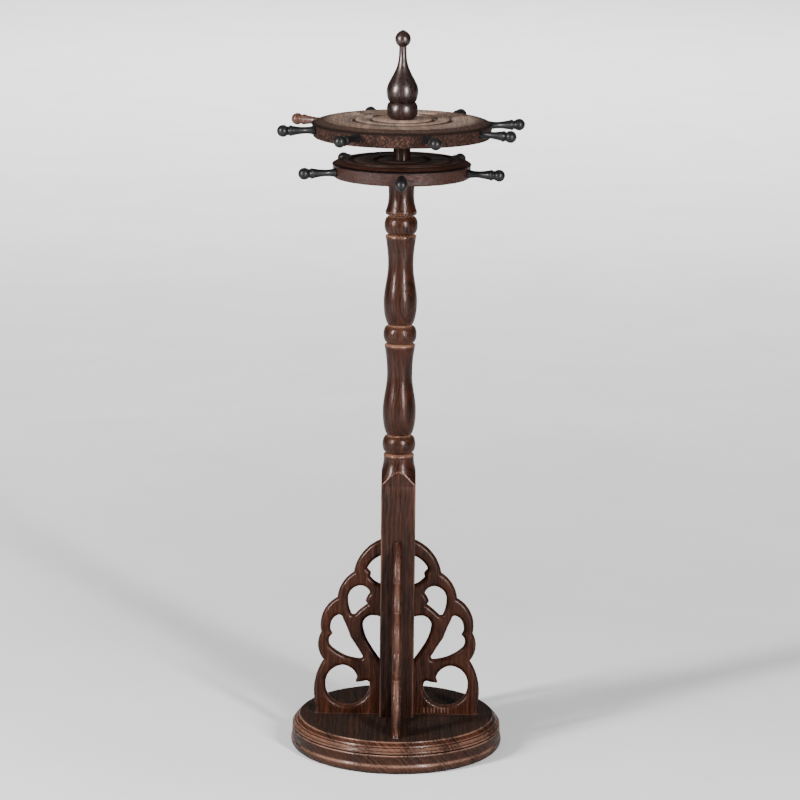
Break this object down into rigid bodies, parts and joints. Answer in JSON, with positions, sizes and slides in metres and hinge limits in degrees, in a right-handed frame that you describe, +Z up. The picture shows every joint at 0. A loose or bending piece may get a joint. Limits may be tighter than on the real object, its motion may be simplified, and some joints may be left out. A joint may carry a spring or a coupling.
{
  "type": "brush hanging stand",
  "caption": "Round two-disc calligraphy brush hanging stand: turned column with pierced brackets on a moulded base, pegged discs that turn, and a lift-off finial.",
  "frame": {"origin": "centre of the base's underside, on the surface the stand rests on", "axes": "+Z up along the column; +X towards the right bracket, -Y towards the front bracket"},
  "size_m": [0.153, 0.153, 0.457],
  "materials": {
    "base_wood": "satin lacquered dark wenge with brown figure",
    "column_wood": "semi-gloss lacquered dark wenge with fine streaks",
    "bracket_wood": "satin lacquered dark wenge, edges rounded by hand",
    "disc_wood": "thin matte wax over turned end grain",
    "ebony": "polished black ebony",
    "brown_peg_wood": "polished reddish-brown rosewood",
    "steel": "zinc-plated wood screw",
    "birch": "plain birch dowel"
  },
  "bodies": {
    "stand": {"base_plate": "base_wood", "column": "column_wood", "bracket_right": "bracket_wood", "bracket_back": "bracket_wood", "bracket_left": "bracket_wood", "bracket_front": "bracket_wood", "column_screw": "steel", "column_washer": "steel", "bracket_screws": "steel", "bracket_dowels": "birch"},
    "lower_disc": {"lower_disc": "disc_wood", "lower_peg_1": "ebony", "lower_peg_2": "ebony", "lower_peg_3": "ebony", "lower_peg_4": "ebony", "lower_peg_5": "ebony"},
    "upper_disc": {"upper_disc": "disc_wood", "upper_peg_1": "ebony", "upper_peg_2": "ebony", "upper_peg_3": "ebony", "upper_peg_4": "brown_peg_wood", "upper_peg_5": "ebony", "upper_peg_6": "ebony", "upper_peg_7": "ebony", "upper_peg_8": "ebony"},
    "finial": {"finial": "column_wood"}
  },
  "joints": [
    {"name": "lower_disc_turn", "type": "hinge", "parent": "stand", "child": "lower_disc", "pos_m": [0, 0, 0.366], "axis": [0, 0, 1], "continuous": true},
    {"name": "upper_disc_turn", "type": "hinge", "parent": "stand", "child": "upper_disc", "pos_m": [0, 0, 0.391], "axis": [0, 0, 1], "continuous": true},
    {"name": "finial_lift", "type": "slide", "parent": "stand", "child": "finial", "axis": [0, 0, 1], "range_m": [0, 0.016]}
  ]
}
